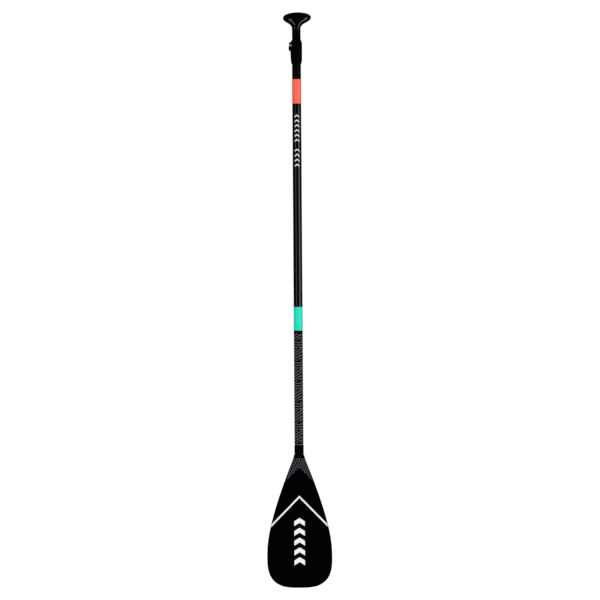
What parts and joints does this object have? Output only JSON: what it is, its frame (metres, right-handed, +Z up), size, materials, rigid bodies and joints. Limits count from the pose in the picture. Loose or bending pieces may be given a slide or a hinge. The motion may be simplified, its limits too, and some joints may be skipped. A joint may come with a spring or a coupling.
{
  "type": "single blade paddle",
  "caption": "Adjustable single-blade stand-up paddle: palm grip on a telescoping tube, side cam-lever clamp, banded shaft, snap-button joint and a forward-raked teardrop blade.",
  "frame": {"origin": "on the shaft's axis at the underside of the clamp collar, where a rack's fork carries the paddle", "axes": "+Z up along the shaft towards the palm grip, -Y towards the printed face, +X to the right as that face is seen; the clamp's lugs are at -X"},
  "size_m": [0.2036, 0.0988, 1.8],
  "materials": {
    "grip_plastic": "satin",
    "clamp_plastic": "satin",
    "steel": "polished",
    "shaft_gloss": "gloss",
    "ferrule_plastic": "matte",
    "coral_vinyl": "gloss",
    "teal_vinyl": "gloss",
    "button_plastic": "gloss",
    "foam": "matte",
    "blade_black": "matte",
    "rail_plastic": "satin"
  },
  "bodies": {
    "shaft": {"clamp_collar": "clamp_plastic", "bolt_washer": "steel", "cam_saddle": "steel", "lever_pin": "steel", "mid_shaft": "shaft_gloss", "coral_band": "coral_vinyl", "teal_band": "teal_vinyl", "mid_shaft_plug": "foam"},
    "guide": {"guide_bush": "ferrule_plastic"},
    "handle": {"palm_grip": "grip_plastic", "handle_tube": "shaft_gloss", "handle_tube_plug": "clamp_plastic"},
    "lever": {"clamp_lever": "clamp_plastic"},
    "tension_bolt": {"clamp_bolt": "steel"},
    "blade_section": {"ferrule": "ferrule_plastic", "button_spring": "steel", "lower_shaft": "shaft_gloss", "lower_shaft_plug": "foam", "blade_neck": "blade_black", "blade_core": "foam", "blade_front_skin": "blade_black", "blade_back_skin": "blade_black", "blade_edge_rail": "rail_plastic"},
    "button": {"push_button": "button_plastic"}
  },
  "joints": [
    {"name": "handle_slide", "type": "slide", "parent": "shaft", "child": "guide", "axis": [0, 0, 1], "range_m": [0, 0.4]},
    {"name": "handle_twist", "type": "hinge", "parent": "guide", "child": "handle", "pos_m": [0, 0, -0.49], "axis": [0, 0, 1], "continuous": true},
    {"name": "lever_open", "type": "hinge", "parent": "shaft", "child": "lever", "pos_m": [-0.018, 0.0155, 0.0543], "axis": [0, 0, 1], "range_deg": [0, 150]},
    {"name": "tension_bolt_turn", "type": "hinge", "parent": "shaft", "child": "tension_bolt", "pos_m": [-0.018, 0, 0.0584], "axis": [0, -1, 0], "continuous": true},
    {"name": "blade_section_pull", "type": "slide", "parent": "shaft", "child": "blade_section", "axis": [0, 0, -1], "range_m": [0, 0.11], "deforming": ["push_button"]},
    {"name": "button_press", "type": "slide", "parent": "blade_section", "child": "button", "axis": [0, 1, 0], "range_m": [0, 0.004], "stiffness_N_per_m": 500, "springref_m": -0.002, "deforming": ["button_spring"]}
  ]
}
